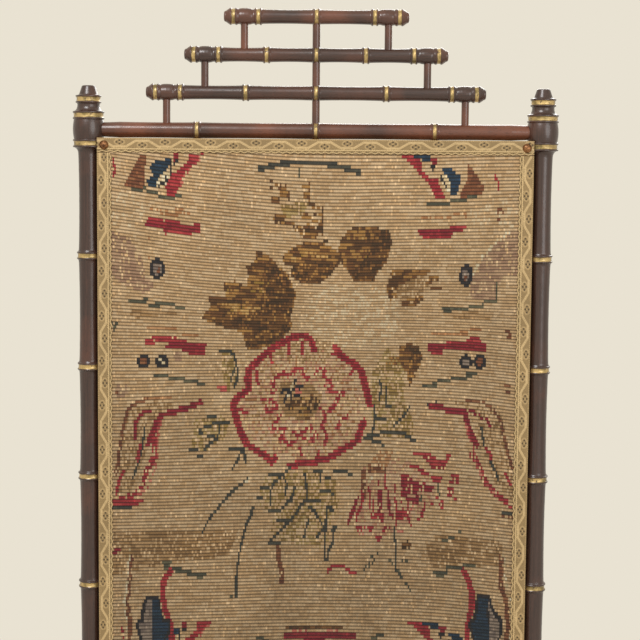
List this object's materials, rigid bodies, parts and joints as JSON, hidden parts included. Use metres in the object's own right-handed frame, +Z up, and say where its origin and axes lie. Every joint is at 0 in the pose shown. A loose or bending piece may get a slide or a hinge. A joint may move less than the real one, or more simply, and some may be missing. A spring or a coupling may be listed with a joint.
{
  "type": "fire screen",
  "caption": "Cheval fire screen: ring-turned faux bamboo posts and rails, stepped crest, stretched needlework panel with braid border, and trestle feet.",
  "frame": {"origin": "on the floor, midway between the posts and between the front and back of the feet", "axes": "+X to the right as seen from the front, -Y towards the viewer of the needlework, +Z up"},
  "size_m": [0.6182, 0.3, 1.0782],
  "materials": {
    "dark_turned_wood": "french polished, dark stained, with gilt painted grooves",
    "red_turned_wood": "french polished, redder stain, with gilt painted grooves",
    "strainer_pine": "planed, unfinished",
    "wool_canvas_work": "ribbed wool canvas work",
    "gimp_braid": "woven gimp braid",
    "backing_linen": "plain woven linen",
    "nail_brass": "antique domed, tarnished",
    "tack_brass": "cut tack, dulled",
    "screw_steel": "plain slotted, dulled"
  },
  "bodies": {
    "root": {"left_post": "dark_turned_wood", "right_post": "dark_turned_wood", "left_finial": "dark_turned_wood", "right_finial": "dark_turned_wood", "top_rail": "red_turned_wood", "bottom_rail": "red_turned_wood", "stretcher": "dark_turned_wood", "crest_rail_lower": "dark_turned_wood", "crest_rail_middle": "dark_turned_wood", "crest_rail_upper": "dark_turned_wood", "crest_spindle_lower_left": "dark_turned_wood", "crest_spindle_lower_right": "dark_turned_wood", "crest_spindle_middle_left": "dark_turned_wood", "crest_spindle_middle_right": "dark_turned_wood", "crest_spindle_upper_left": "dark_turned_wood", "crest_spindle_upper_right": "dark_turned_wood", "crest_centre_rod": "dark_turned_wood", "base_spindle_left": "dark_turned_wood", "base_spindle_centre": "dark_turned_wood", "base_spindle_right": "dark_turned_wood", "left_foot": "dark_turned_wood", "right_foot": "dark_turned_wood", "brace_left_front": "dark_turned_wood", "brace_left_back": "dark_turned_wood", "brace_right_front": "dark_turned_wood", "brace_right_back": "dark_turned_wood", "foot_pad_left_front": "dark_turned_wood", "foot_pad_left_back": "dark_turned_wood", "foot_pad_right_front": "dark_turned_wood", "foot_pad_right_back": "dark_turned_wood", "strainer_left_stile": "strainer_pine", "strainer_right_stile": "strainer_pine", "strainer_top_rail": "strainer_pine", "strainer_bottom_rail": "strainer_pine", "strainer_cross_bar": "strainer_pine", "needlework": "wool_canvas_work", "backing_cloth": "backing_linen", "braid_top": "gimp_braid", "braid_bottom": "gimp_braid", "braid_left": "gimp_braid", "braid_right": "gimp_braid", "corner_nails": "nail_brass", "panel_screws": "screw_steel", "backing_tacks": "tack_brass"}
  },
  "joints": []
}
